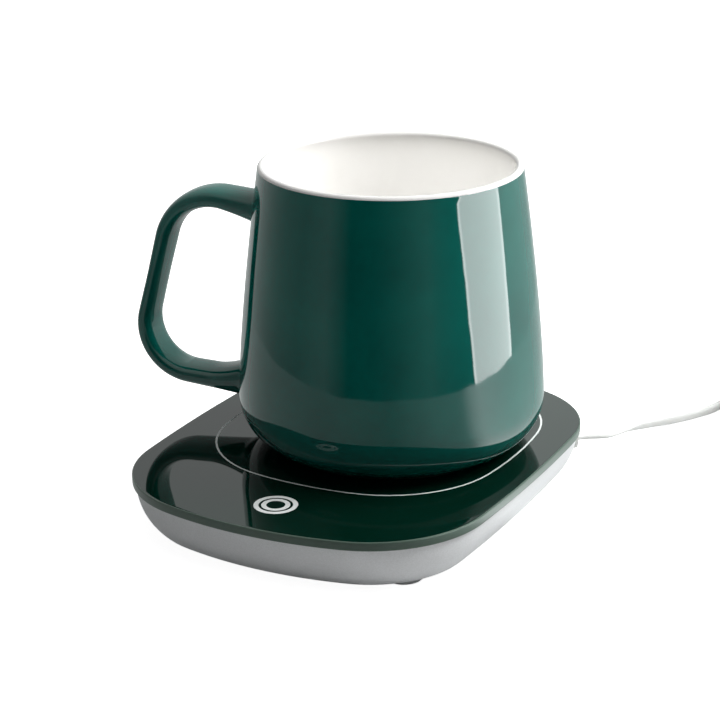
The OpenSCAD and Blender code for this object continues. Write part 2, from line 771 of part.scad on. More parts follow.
module power_transistor() {
    body = [6.5, 6, 2.3];
    tab = [5.2, 1.2, 0.5];
    leg = [0.8, 2.6, 0.5];
    leg_pitch = 4.6;
    color("black") translate([transistor_x, board_front + board_d / 2 + leg.y / 2, board_top]) {
        translate([-body.x / 2, -body.y / 2, 0]) cube(body);
        translate([-tab.x / 2, body.y / 2, 0]) cube(tab);
        for (side = [-1, 1])
            translate([side * leg_pitch / 2 - leg.x / 2, -body.y / 2 - leg.y, 0]) cube(leg);
    }
}

module filter_capacitor() {
    can_d = 5;
    can_h = 5.4;
    base = [5.3, 5.3, 0.8];
    color("silver") translate([chip_x, board_front + can_d / 2 + capacitor_margin, board_top]) {
        translate([-base.x / 2, -base.y / 2, 0]) cube(base);
        cylinder(d = can_d, h = can_h);
    }
}

module wire_connectors() {
    color("ivory") for (x = connector_x)
        translate([x - connector.x / 2, connector_y - connector.y / 2, board_top]) cube(connector);
}

module board_screws() {
    color("silver") at_board_posts() translate([0, 0, board_top]) mirror([0, 0, 1])
        screw(small_screw, small_screw_l);
}

// Two wires side by side along the same points
module wire_pair(points, gap, d) {
    for (s = [-1, 1]) tube([for (p = points) p + [s * gap / 2, 0, 0]], d, coil_sides);
}

module heater_wires() {
    tab_y = zone_y - stack_d / 2 - film_tab.y + wire_d;
    color("firebrick") wire_pair(
        [[0, tab_y, film_z], [0, tab_y, wire_z], [0, connector_back, wire_z]], wire_pitch, wire_d);
}

module sensor_wires() {
    run_z = retainer_z - wire_d;
    color("navy") wire_pair(
        [[0, zone_y, film_z - sensor_h], [0, zone_y, run_z + 0.8], [-0.5, zone_y - 1.5, run_z],
         [connector_x[0], board_back + 9, run_z], [connector_x[0], board_back + 4, run_z + 1],
         [connector_x[0], board_back + 2, wire_z], [connector_x[0], connector_back, wire_z]],
        wire_d + 0.3, wire_d - 0.2);
}

module supply_wires() {
    start = on_exit(jacket_in);
    side_x = corner.x + pad_corner_r - glass_overhang - shell_draw - shell_wall - 2;
    color("firebrick") for (s = [-1, 1]) {
        lift = [0, 0, s * wire_d * 0.6];
        low = inside_z + wire_d * (1.6 + 0.6 * s);
        plug_in = [connector_x[2] + s * wire_pitch / 2, connector_back, wire_z];
        tube(smooth([
            start + lift, start - wire_d * exit_way + lift, start - 2 * wire_d * exit_way + lift,
            [side_x - 4, corner.y, low], [side_x, 0, low], [side_x - 8, 6 - corner.y, low],
            plug_in + [1, 5, low + 1 - wire_z],
            plug_in + [0, 2 * wire_d, 0], plug_in + [0, wire_d, 0], plug_in
        ], 2), wire_d, coil_sides);
    }
}

module case_screws() {
    color("silver") at_feet() translate([0, 0, case_seat_z]) screw(case_screw, case_screw_l);
}

module rubber_feet() {
    edge = 0.4;
    color("darkgray") at_feet() rotate_extrude()
        polygon([[0, 0], [foot_d / 2 - edge, 0], [foot_d / 2, edge], [foot_d / 2, foot_show + foot_seat],
            [0, foot_show + foot_seat]]);
}

module cord_gland() {
    color("gainsboro") difference() {
        union() {
            exit_rod(port_out, gland_out, gland_collar_d);
            exit_rod(port_in - gland_collar_t, gland_out, gland_neck_d);
            exit_rod(port_in - gland_collar_t, port_in, gland_collar_d);
        }
        exit_rod(port_in - gland_collar_t - cut, gland_out + cut, cord_d);
    }
}

module cord_clamp() {
    color("ivory") difference() {
        at_exit(clamp_in, clamp_split_z) translate([0, -clamp_size.y / 2, 0]) cube(clamp_size);
        exit_rod(clamp_in - cut, clamp_in + clamp_size.x + cut, cord_d);
        at_clamp_screws() translate([0, 0, clamp_split_z - cut])
            cylinder(d = small_screw[0] + fit_gap, h = clamp_size.z + 2 * cut);
    }
}

module clamp_screws() {
    color("silver") at_clamp_screws() translate([0, 0, clamp_split_z + clamp_size.z]) mirror([0, 0, 1])
        screw(small_screw, clamp_size.z + clamp_screw_grip);
}

module cord_inside() {
    color("whitesmoke") exit_rod(jacket_in, gland_out, cord_d);
}

module power_cord() {
    color("whitesmoke") tube(free_path, cord_d, cord_sides);
}

module cord_coil() {
    color("whitesmoke") tube(coil_path, cord_d, coil_sides);
}

// Strap round the coil's turns, at its far side
module cord_tie() {
    strap_w = 5;
    room = 0.15;
    inner_low = sqrt(pow(coil_in_r - cord_d / 2, 2) - pow(strap_w / 2, 2)) - room;
    inner_high = coil_r(0.25) + cord_d / 2 + room;
    lift = coil_rise * (coil_layers - 1) + cord_d / 2 + room;
    height = coil_z - tie_t + lift;
    color("white") translate([coil_x - strap_w / 2, coil_y, 0]) difference() {
        translate([0, inner_low - tie_t, 0])
            cube([strap_w, inner_high - inner_low + 2 * tie_t, height + 2 * tie_t]);
        translate([-cut, inner_low, tie_t]) cube([strap_w + 2 * cut, inner_high - inner_low, height]);
    }
}

module cord_tail() {
    color("whitesmoke") tube(tail_path, cord_d, cord_sides);
}

// Place of the plug: its lead end at the origin and its tongue along +Z
module at_plug() {
    translate(relief_end) rotate([90, 0, 0]) children();
}

module plug_grip() {
    color("whitesmoke") at_plug() {
        cylinder(d1 = relief_d[0], d2 = relief_d[1], h = relief_l);
        translate([0, 0, relief_l]) linear_extrude(grip.y) rounded_rect(grip.x, grip.z, grip_r);
    }
}

module plug_shell() {
    color("silver") at_plug() translate([0, 0, relief_l + grip.y]) linear_extrude(usb.y) difference() {
        square([usb.x, usb.z], center = true);
        square([usb.x - 2 * usb_wall, usb.z - 2 * usb_wall], center = true);
    }
}

module plug_tongue() {
    w = usb.x - 2 * usb_wall;
    color("white") at_plug() difference() {
        translate([-w / 2, -usb.z / 2 + usb_wall, relief_l + grip.y]) cube([w, tongue_t, usb.y - tongue_in]);
        plug_contact_bars();
    }
}

module plug_contact_bars() {
    for (x = contact_x)
        translate([x - contact.x / 2, -usb.z / 2 + usb_wall + tongue_t - contact.z,
            relief_l + grip.y + usb.y - contact_in - contact.y])
            cube([contact.x, contact.z, contact.y]);
}

module plug_contacts() {
    color("gold") at_plug() plug_contact_bars();
}

mug_body();
mug_handle();
glass_top();
zone_line();
touch_symbol();
base_shell();
glass_carrier();
glass_gasket();
heater_plate();
heater_film();
insulation_felt();
heater_retainer();
retainer_screws();
thermistor();
thermal_fuse();
control_board();
touch_spring();
indicator_led();
control_chip();
power_transistor();
filter_capacitor();
wire_connectors();
board_screws();
heater_wires();
sensor_wires();
supply_wires();
case_screws();
rubber_feet();
cord_gland();
cord_clamp();
clamp_screws();
cord_inside();
power_cord();
cord_coil();
cord_tie();
cord_tail();
plug_grip();
plug_shell();
plug_tongue();
plug_contacts();
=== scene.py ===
"""Looks of an electric mug warmer and the glazed mug on it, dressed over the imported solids.

Sizes here are millimetres, as on a drawing. They turn into metres where a mesh, a lamp or a pattern is made.
"""
from math import acos, atan2, cos, degrees, hypot, pi, radians, sin, sqrt, tan

import bmesh
import bpy
from mathutils import Matrix, Vector


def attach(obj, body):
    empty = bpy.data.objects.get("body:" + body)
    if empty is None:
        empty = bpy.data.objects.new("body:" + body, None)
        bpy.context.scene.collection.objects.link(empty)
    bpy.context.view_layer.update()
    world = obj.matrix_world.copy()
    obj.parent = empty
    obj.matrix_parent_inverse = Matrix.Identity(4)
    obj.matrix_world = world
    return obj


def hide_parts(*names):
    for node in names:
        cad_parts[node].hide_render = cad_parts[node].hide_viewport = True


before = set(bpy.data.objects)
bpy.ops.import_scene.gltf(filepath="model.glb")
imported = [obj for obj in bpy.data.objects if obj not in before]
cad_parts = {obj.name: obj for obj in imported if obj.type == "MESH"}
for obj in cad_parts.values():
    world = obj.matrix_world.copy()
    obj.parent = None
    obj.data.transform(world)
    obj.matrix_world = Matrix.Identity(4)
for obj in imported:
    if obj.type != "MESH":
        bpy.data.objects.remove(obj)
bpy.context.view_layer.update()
scene = bpy.context.scene
scene.view_settings.view_transform = "Standard"

MM = 0.001
GLASS_TOP = 18.5
MUG_X, MUG_Y = 5.4, 9.5
GLASS_IOR = 1.52
# Edges that turn by more than this stay sharp
SHARP_ANGLE = radians(40)

# Direction of the camera from the object: to the right of the front, and above it
CAMERA_TURN = radians(27.842)
CAMERA_RISE = radians(19.792)


def make_camera():
    """Camera at the photograph's viewing angle, with a long lens and a slight roll."""
    distance = 647.92
    target = Vector((-0.58, 0, 45.51))
    roll = radians(-0.554)
    away = Vector((sin(CAMERA_TURN) * cos(CAMERA_RISE),
                   -cos(CAMERA_TURN) * cos(CAMERA_RISE),
                   sin(CAMERA_RISE)))
    level = Vector((cos(CAMERA_TURN), sin(CAMERA_TURN), 0))
    upright = away.cross(level)
    right = cos(roll) * level + sin(roll) * upright
    up = cos(roll) * upright - sin(roll) * level
    data = bpy.data.cameras.new("camera")
    data.lens = 105.376
    data.sensor_width = 36
    camera = bpy.data.objects.new("camera", data)
    camera.matrix_world = Matrix((right, up, away)).transposed().to_4x4()
    camera.location = (target + distance * away) * MM
    scene.collection.objects.link(camera)
    scene.camera = camera


make_camera()


# Materials

def linear(colour):
    """An sRGB hex value as the linear colour that a shader takes."""
    parts = [int(colour[i:i + 2], 16) / 255 for i in (1, 3, 5)]
    return tuple(c / 12.92 if c <= 0.04045 else ((c + 0.055) / 1.055) ** 2.4 for c in parts) + (1.0,)


def every(size):
    """Scale of a pattern whose features are that many millimetres apart."""
    return 1 / (size * MM)


def add(tree, kind, links=None, **settings):
    """Adds a node. Settings are its properties. Links give each socket, by its name or number, a value or the
    output that feeds it."""
    made = tree.nodes.new(kind)
    for name, value in settings.items():
        setattr(made, name, value)
    for socket, source in (links or {}).items():
        if isinstance(source, bpy.types.NodeSocket):
            tree.links.new(source, made.inputs[socket])
        else:
            made.inputs[socket].default_value = source
    return made


def start_finish(name):
    """New empty material. Returns it, its node tree and the place on the object, in metres."""
    material = bpy.data.materials.new(name)
    material.use_nodes = True
    tree = material.node_tree
    tree.nodes.clear()
    return material, tree, add(tree, "ShaderNodeTexCoord").outputs["Object"]


def end_finish(tree, sockets):
    """Closes a material's tree with a surface shader that has these sockets."""
    shader = add(tree, "ShaderNodeBsdfPrincipled", sockets)
    add(tree, "ShaderNodeOutputMaterial", {"Surface": shader.outputs[0]})


def gloss_glaze(name, thin, thick):
    """Gloss glaze, dipped and fired: a glassy skin that pools a little deeper in places, with slow waves that
    bend the edges of reflections, and a fine fired texture."""
    material, tree, place = start_finish(name)
    pools = add(tree, "ShaderNodeTexNoise", {"Vector": place, "Scale": every(26), "Detail": 3.0})
    spread = add(tree, "ShaderNodeMapRange", {"Value": pools.outputs[0], "From Min": 0.3, "From Max": 0.7})
    colour = add(tree, "ShaderNodeMix", {"Factor": spread.outputs[0], "A": linear(thin), "B": linear(thick)},
                 data_type="RGBA")
    waves = add(tree, "ShaderNodeTexNoise", {"Vector": place, "Scale": every(12), "Detail": 1.0})
    slow = add(tree, "ShaderNodeBump", {"Height": waves.outputs[0], "Distance": 0.05 * MM})
    fired = add(tree, "ShaderNodeTexNoise", {"Vector": place, "Scale": every(1.6), "Detail": 2.0})
    skin = add(tree, "ShaderNodeBump", {"Height": fired.outputs[0], "Distance": 0.001 * MM,
                                        "Normal": slow.outputs[0]})
    rough = add(tree, "ShaderNodeMapRange", {"Value": fired.outputs[0], "To Min": 0.02, "To Max": 0.06})
    end_finish(tree, {"Base Color": colour.outputs["Result"], "Roughness": rough.outputs[0], "IOR": GLASS_IOR,
                      "Normal": skin.outputs[0]})
    return material


def bare_clay():
    """Fired stoneware without glaze, wiped clean where the mug stands: dry, pale and gritty."""
    material, tree, place = start_finish("bare_stoneware")
    grit = add(tree, "ShaderNodeTexNoise", {"Vector": place, "Scale": every(0.5), "Detail": 4.0})
    colour = add(tree, "ShaderNodeMix", {"Factor": grit.outputs[0], "A": linear("#d8d0c4"),
                                         "B": linear("#eee9e0")}, data_type="RGBA")
    bump = add(tree, "ShaderNodeBump", {"Height": grit.outputs[0], "Distance": 0.03 * MM})
    end_finish(tree, {"Base Color": colour.outputs["Result"], "Roughness": 0.85, "Normal": bump.outputs[0]})
    return material


def painted_glass():
    """Float glass printed dark green underneath: a flat mirror over a nearly black depth, with faint marks of
    wiping."""
    material, tree, place = start_finish("back_painted_glass")
    wiped = add(tree, "ShaderNodeTexNoise", {"Vector": place, "Scale": every(22), "Detail": 5.0,
                                             "Distortion": 1.2})
    rough = add(tree, "ShaderNodeMapRange", {"Value": wiped.outputs[0], "From Min": 0.4, "From Max": 0.75,
                                             "To Min": 0.01, "To Max": 0.05})
    depth = add(tree, "ShaderNodeMix", {"Factor": wiped.outputs[0], "A": linear("#011a11"),
                                        "B": linear("#032017")}, data_type="RGBA")
    end_finish(tree, {"Base Color": depth.outputs["Result"], "Roughness": rough.outputs[0], "IOR": GLASS_IOR})
    return material


def ground_glass():
    """Edge of the glass, ground and satin polished: grey green, with fine marks of the wheel along it."""
    material, tree, place = start_finish("ground_glass_edge")
    wheel = add(tree, "ShaderNodeMapping", {"Vector": place, "Scale": (1, 1, 12)})
    marks = add(tree, "ShaderNodeTexNoise", {"Vector": wheel.outputs[0], "Scale": every(3), "Detail": 4.0})
    colour = add(tree, "ShaderNodeMix", {"Factor": marks.outputs[0], "A": linear("#40544a"),
                                         "B": linear("#4d6055")}, data_type="RGBA")
    bump = add(tree, "ShaderNodeBump", {"Height": marks.outputs[0], "Distance": 0.006 * MM})
    end_finish(tree, {"Base Color": colour.outputs["Result"], "Roughness": 0.32, "IOR": GLASS_IOR,
                      "Normal": bump.outputs[0]})
    return material


def silver_paint():
    """Satin silver paint on moulded ABS: fine flakes, drawn coarser than life so that they show, and a soft
    sheen."""
    material, tree, place = start_finish("silver_paint_on_abs")
    flakes = add(tree, "ShaderNodeTexVoronoi", {"Vector": place, "Scale": every(0.3)})
    glint = add(tree, "ShaderNodeSeparateColor", {"Color": flakes.outputs["Color"]})
    colour = add(tree, "ShaderNodeMix", {"Factor": glint.outputs[0], "A": linear("#dadcdd"),
                                         "B": linear("#e2e4e6")}, data_type="RGBA")
    spray = add(tree, "ShaderNodeTexNoise", {"Vector": place, "Scale": every(0.9), "Detail": 2.0})
    bump = add(tree, "ShaderNodeBump", {"Height": spray.outputs[0], "Distance": 0.002 * MM})
    rough = add(tree, "ShaderNodeMapRange", {"Value": glint.outputs[1], "To Min": 0.42, "To Max": 0.5})
    end_finish(tree, {"Base Color": colour.outputs["Result"], "IOR": 1.3, "Roughness": rough.outputs[0],
                      "Normal": bump.outputs[0]})
    return material


def mottled(name, dark, light, rough, grain, depth, metallic=0.0):
    """Finish whose colour drifts between two shades over a grain of that size, with a bump of that depth."""
    material, tree, place = start_finish(name)
    noise = add(tree, "ShaderNodeTexNoise", {"Vector": place, "Scale": every(grain), "Detail": 3.0})
    colour = add(tree, "ShaderNodeMix", {"Factor": noise.outputs[0], "A": linear(dark), "B": linear(light)},
                 data_type="RGBA")
    bump = add(tree, "ShaderNodeBump", {"Height": noise.outputs[0], "Distance": depth * MM})
    gloss = add(tree, "ShaderNodeMapRange", {"Value": noise.outputs[0], "To Min": rough * 0.85,
                                             "To Max": rough * 1.15})
    end_finish(tree, {"Base Color": colour.outputs["Result"], "Metallic": metallic,
                      "Roughness": gloss.outputs[0], "Normal": bump.outputs[0]})
    return material


def loop_tape():
    """White hook and loop tape: a woven ground with short fuzzy loops, one every half millimetre, and painted
    shade between the loops.
    """
    material, tree, place = start_finish("woven_loop_tape")
    loops = add(tree, "ShaderNodeTexVoronoi", {"Vector": place, "Scale": every(0.5)})
    # The colour darkens from the middle of each loop towards the ground between them, where the bump sinks:
    # painted shade in the hollows
    colour = add(tree, "ShaderNodeMix", {"Factor": loops.outputs["Distance"], "A": linear("#f2f2f0"),
                                         "B": linear("#c9c9c6")}, data_type="RGBA")
    bump = add(tree, "ShaderNodeBump", {"Height": loops.outputs["Distance"], "Distance": 0.12 * MM},
               invert=True)
    end_finish(tree, {"Base Color": colour.outputs["Result"], "Roughness": 0.9, "Sheen Weight": 0.3,
                      "Normal": bump.outputs[0]})
    return material


GREEN_GLAZE = gloss_glaze("green_gloss_glaze", "#00665c", "#005850")
WHITE_GLAZE = gloss_glaze("white_gloss_glaze", "#f9f8f6", "#f5f4f1")
BARE_CLAY = bare_clay()
GLASS_FACE = painted_glass()
GLASS_EDGE = ground_glass()
SILVER = silver_paint()
TAPE = loop_tape()

# A mottled finish's numbers are its roughness, its grain and bump depth in millimetres, and 1 for metal

# Soft PVC jacket of the lead: even, a little waxy, with a slight drift from the extruder
LEAD_PVC = mottled("extruded_white_pvc", "#dfe0dd", "#e9eae8", 0.45, 6, 0.01)
# Plug moulded over the lead's end in the same white PVC, with a fine sparked texture
PLUG_PVC = mottled("moulded_white_pvc", "#d9dad7", "#e2e3e1", 0.5, 0.6, 0.02)
# Ceramic ink printed on the glass: flat white with slightly uneven cover
PRINT_INK = mottled("ceramic_ink", "#eaefed", "#f5f7f6", 0.5, 0.4, 0.003)
# Silicone rubber of the feet: matt grey with fine dust
FOOT_RUBBER = mottled("silicone_rubber", "#bebfc0", "#cccdce", 0.75, 0.8, 0.02)
# Bright nickel on drawn steel: smooth, with faint rolling waves
NICKEL = mottled("bright_nickel_plate", "#c9c6bf", "#d8d5cf", 0.2, 2.5, 0.002, 1.0)
# Hard gold flash on the plug's contacts
GOLD = mottled("gold_plate", "#d9b45f", "#e6c679", 0.25, 1.2, 0.002, 1.0)
# Nylon of the plug's tongue and the wire connectors: as moulded, slightly cream
NYLON = mottled("moulded_white_nylon", "#e2e0d8", "#eceae3", 0.4, 1.5, 0.01)


# Shapes

def arc(mid, radius, start, end, steps):
    """Points of an arc in a plane, without its last one; angles are in degrees."""
    angles = [radians(start + (end - start) * i / steps) for i in range(steps)]
    return [(mid[0] + radius * cos(a), mid[1] + radius * sin(a)) for a in angles]


def smooth(points, steps):
    """Curve through the points of a route, with that many steps between each pair."""
    line = []
    last = len(points) - 1
    for i in range(last):
        a, b, c, e = (points[min(max(j, 0), last)] for j in (i - 1, i, i + 1, i + 2))
        for t in (s / steps for s in range(steps)):
            bend = (2 * a - 5 * b + 4 * c - e) + t * (3 * b - a - 3 * c + e)
            line.append(b + 0.5 * t * ((c - a) + t * bend))
    return line + [points[last]]


def oval(half_w, half_h, squareness, sides):
    """Section that is an ellipse at a squareness of 2, and comes closer to a rectangle above that."""
    section = []
    for s in range(sides):
        c, d = cos(2 * pi * s / sides), sin(2 * pi * s / sides)
        section.append((half_w * abs(c) ** (2 / squareness) * (1 if c > 0 else -1),
                        half_h * abs(d) ** (2 / squareness) * (1 if d > 0 else -1)))
    return section


def make_piece(name, rings, body, coats, bands=None, loop=False):
    """New piece: a skin through rings of points, capped at both ends or closed into a loop, riding on a body.
    bands gives the number of the coat between each ring and the next."""
    count = len(rings[0])
    spans = len(rings) if loop else len(rings) - 1
    bands = bands or [0] * spans
    faces = []
    for i in range(spans):
        low, high = i * count, (i + 1) % len(rings) * count
        faces += [(low + s, low + (s + 1) % count, high + (s + 1) % count, high + s) for s in range(count)]
    coat_of_face = [bands[i // count] for i in range(spans * count)]
    if not loop:
        faces += [tuple(range(count)), tuple(range(spans * count, (spans + 1) * count))]
        coat_of_face += [bands[0], bands[-1]]
    mesh = bpy.data.meshes.new(name)
    mesh.from_pydata([Vector(p) * MM for ring in rings for p in ring], [], faces)
    for face, coat in zip(mesh.polygons, coat_of_face):
        face.material_index = coat
        face.use_smooth = len(face.vertices) == 4
    form = bmesh.new()
    form.from_mesh(mesh)
    bmesh.ops.recalc_face_normals(form, faces=form.faces)
    form.to_mesh(mesh)
    form.free()
    mesh.set_sharp_from_angle(angle=SHARP_ANGLE)
    for coat in coats:
        mesh.materials.append(coat)
    piece = bpy.data.objects.new(name, mesh)
    scene.collection.objects.link(piece)
    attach(piece, body)
    return piece


# Lead: out of the back right corner, down to the table, round a tied coil and into its plug

CORD_D = 3.2
CORD_T = 1.7
EXIT_WAY = Vector((cos(radians(38)), sin(radians(38)), 0))
EXIT_POINT = Vector((49.07, 55.26, 9))
COIL_X, COIL_Y, COIL_Z = 99.2, 136, 2.3
COIL_OUT, COIL_IN, COIL_STEP, COIL_RISE = 22.2, 13.4, 4.4, 3.8
COIL_LAYERS, LAYER_TURNS = 4, 2
RELIEF_END = Vector((121.4, 95, 4))
RELIEF_L, GRIP_L = 10, 21


def coil_points():
    """Turns of the coil: in, out, in and out again. It climbs in the half turn where the lead turns back."""
    per_turn = 24
    layer = LAYER_TURNS + 0.5
    turns = COIL_LAYERS * LAYER_TURNS + (COIL_LAYERS - 1) / 2
    points = []
    for i in range(int(turns * per_turn) + 1):
        t = i / per_turn
        level = int(t // layer)
        within = t - level * layer
        along = COIL_STEP * min(within, LAYER_TURNS)
        radius = COIL_IN + along if level % 2 else COIL_OUT - along
        climb = max(0, within - LAYER_TURNS) * 2
        lift = COIL_RISE * (level + (1 - cos(pi * climb)) / 2)
        a = pi - 2 * pi * t
        points.append(Vector((COIL_X + radius * cos(a), COIL_Y + radius * sin(a), COIL_Z + lift)))
    return points


def lead_route():
    """Middle line of the whole lead, from the gland to the plug's strain relief."""
    lead_steps, coil_steps = 6, 2
    back = Vector((0, CORD_D, 0))
    coil_start = Vector((COIL_X - COIL_OUT, COIL_Y - CORD_D, COIL_Z))
    coil_end = Vector((COIL_X + COIL_OUT, COIL_Y - CORD_D, COIL_Z + (COIL_LAYERS - 1) * COIL_RISE))
    table = [(57, 61.5, 8.8), (58.5, 68, 7.8), (59, 76, 6), (59.5, 84, 4.3), (61.3, 92.5, 2.8),
             (65.7, 101, 1.9), (70.8, 109.4, 1.7), (75.2, 117.9, 1.9)]
    out = [EXIT_POINT, EXIT_POINT + 2 * EXIT_WAY, EXIT_POINT + 4 * EXIT_WAY] + [Vector(p) for p in table]
    out += [coil_start - 2 * back, coil_start - back, coil_start]
    fall = [Vector((COIL_X + COIL_OUT, y, z)) for y, z in ((120, 11.8), (113, 8.6), (106, 5.2))]
    tail = [coil_end, coil_end - back, coil_end - 2 * back] + fall
    tail += [RELIEF_END + 2 * back, RELIEF_END + back, RELIEF_END]
    coil = [coil_start] + coil_points() + [coil_end]
    return smooth(out, lead_steps)[:-1] + smooth(coil, coil_steps)[:-1] + smooth(tail, lead_steps)


def make_lead(route):
    """Flat twin lead: it leaves the gland lying flat, and turns on its edge before it reaches the table."""
    flat_until, edge_from = 12, 48
    section = oval(CORD_D / 2, CORD_T / 2, squareness=2.4, sides=16)
    gone = 0
    rings = []
    for i, point in enumerate(route):
        if i:
            gone += (point - route[i - 1]).length
        way = (route[min(i + 1, len(route) - 1)] - route[max(i - 1, 0)]).normalized()
        side = way.cross(Vector((0, 0, 1))).normalized()
        up = side.cross(way)
        part = min(max((gone - flat_until) / (edge_from - flat_until), 0), 1)
        twist = pi / 2 * part * part * (3 - 2 * part)
        wide = cos(twist) * side + sin(twist) * up
        thick = cos(twist) * up - sin(twist) * side
        rings.append([point + a * wide + b * thick for a, b in section])
    lead = make_piece("power_lead", rings, "warmer", [LEAD_PVC])
    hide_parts("power_cord", "cord_coil", "cord_tail")
    return lead, gone


def make_tie():
    """Strap round one side of the coil: a rounded loop of tape."""
    half_w, t, corner, steps = 2.5, 0.6, 1.6, 8
    low_y, high_y = COIL_Y + 11.38, COIL_Y + 22.85
    low_z, high_z = t, 15.45
    rings = []
    for inset in (-t, 0):
        r = corner - inset
        y0, y1, z0, z1 = low_y + inset + r, high_y - inset - r, low_z + inset + r, high_z - inset - r
        ring = arc((y1, z1), r, 0, 90, steps) + [(y1, z1 + r)]
        ring += arc((y0, z1), r, 90, 180, steps) + [(y0 - r, z1)]
        ring += arc((y0, z0), r, 180, 270, steps) + [(y0, z0 - r)]
        ring += arc((y1, z0), r, 270, 360, steps) + [(y1 + r, z0)]
        rings.append(ring)
    outer, inner = rings
    loops = []
    for ring, x in ((outer, -half_w), (outer, half_w), (inner, half_w), (inner, -half_w)):
        loops.append([(COIL_X + x, y, z) for y, z in ring])
    tie = make_piece("coil_tie", loops, "warmer", [TAPE], loop=True)
    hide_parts("cord_tie")
    return tie


def make_plug_grip():
    """Plug's moulded grip: a ribbed taper where the lead goes in, then a flat rounded block."""
    ribs, rib_steps, thin_r, widens, groove = 5, 4, 2, 1.25, 0.35
    half_w, half_h, round_in, round_out = 8, 4, 1.2, 0.6
    circle, block, sides = 2, 6, 48
    x, y, z = RELIEF_END
    rings = []
    for i in range(ribs * rib_steps + 1):
        s = i / rib_steps
        radius = thin_r + widens * s / ribs - (groove if i % rib_steps in (1, 2) else 0)
        rings.append((s / ribs * RELIEF_L, radius, radius, circle))
    for a in range(0, 91, 15):
        inset = round_in * (1 - sin(radians(a)))
        rings.append((RELIEF_L + round_in * (1 - cos(radians(a))), half_w - inset, half_h - inset, block))
    for a in range(90, -1, -15):
        inset = round_out * (1 - sin(radians(a)))
        s = RELIEF_L + GRIP_L - round_out * (1 - cos(radians(a)))
        rings.append((s, half_w - inset, half_h - inset, block))
    skin = [[(x + a, y - s, z + b) for a, b in oval(w, h, k, sides)] for s, w, h, k in rings]
    grip = make_piece("plug_grip_moulded", skin, "warmer", [PLUG_PVC])
    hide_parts("plug_grip")
    return grip


def make_plug_shell():
    """Plug's metal shell: thin sheet folded into a flat tube, with two square holes above and two below."""
    start, length, wall = RELIEF_L + GRIP_L, 18.8, 0.35
    half_w, half_h, corner, corner_steps = 6, 2.25, 0.6, 6
    hole_from, hole_to, hole_in, hole_out = 39.6, 41.9, 1.35, 3.65
    x, y, z = RELIEF_END
    across = [corner - half_w, -hole_out, -hole_in, hole_in, hole_out]
    flat_w, flat_h = half_w - corner, half_h - corner
    outline = [(a, -half_h) for a in across] + arc((flat_w, -flat_h), corner, -90, 0, corner_steps)
    outline += arc((flat_w, flat_h), corner, 0, 90, corner_steps) + [(-a, half_h) for a in across]
    outline += arc((-flat_w, flat_h), corner, 90, 180, corner_steps)
    outline += arc((-flat_w, -flat_h), corner, 180, 270, corner_steps)
    count = len(outline)
    along = [start, hole_from, hole_to, start + length]
    points = [Vector((x + a, y - s, z + b)) * MM for s in along for a, b in outline]
    upper = len(across) + 2 * corner_steps
    holes = [(1, 1), (1, 3), (1, upper + 1), (1, upper + 3)]
    faces = []
    for i in range(len(along) - 1):
        for j in range(count):
            if (i, j) not in holes:
                k = (j + 1) % count
                faces.append((i * count + j, i * count + k, (i + 1) * count + k, (i + 1) * count + j))
    mesh = bpy.data.meshes.new("plug_shell_folded")
    mesh.from_pydata(points, [], faces)
    for face in mesh.polygons:
        face.use_smooth = True
    mesh.set_sharp_from_angle(angle=SHARP_ANGLE)
    mesh.materials.append(NICKEL)
    folded = bpy.data.objects.new("plug_shell_folded", mesh)
    sheet = folded.modifiers.new("sheet", "SOLIDIFY")
    sheet.thickness = wall * MM
    sheet.offset = -1
    scene.collection.objects.link(folded)
    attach(folded, "warmer")
    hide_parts("plug_shell")
    return folded


route = lead_route()
lead, lead_length = make_lead(route)
tie = make_tie()
plug = [make_plug_grip(), make_plug_shell(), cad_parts["plug_tongue"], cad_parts["plug_contacts"]]
# The coil lies outside the photo, where the mug has no image of it
for piece in [lead, tie] + plug:
    piece.visible_glossy = False


# Mug: thrown body with a glazed wall, white inside, and a bent handle

MUG_H, RIM_R, BELLY_R, ROUND_R, SIDE_POWER = 88, 40, 47.4, 15.5, 1.39
WALL, LIP_T, BOTTOM_T, INSIDE_ROUND = 4, 2.6, 6, 13.5
LIP_R = LIP_T / 2
LIP_Z = MUG_H - LIP_R


def mug_radius(z):
    """Outside radius of the mug at a height over the glass."""
    if z < ROUND_R:
        return BELLY_R - ROUND_R + sqrt(ROUND_R ** 2 - (ROUND_R - z) ** 2)
    return BELLY_R + (RIM_R - BELLY_R) * ((z - ROUND_R) / (MUG_H - ROUND_R)) ** SIDE_POWER


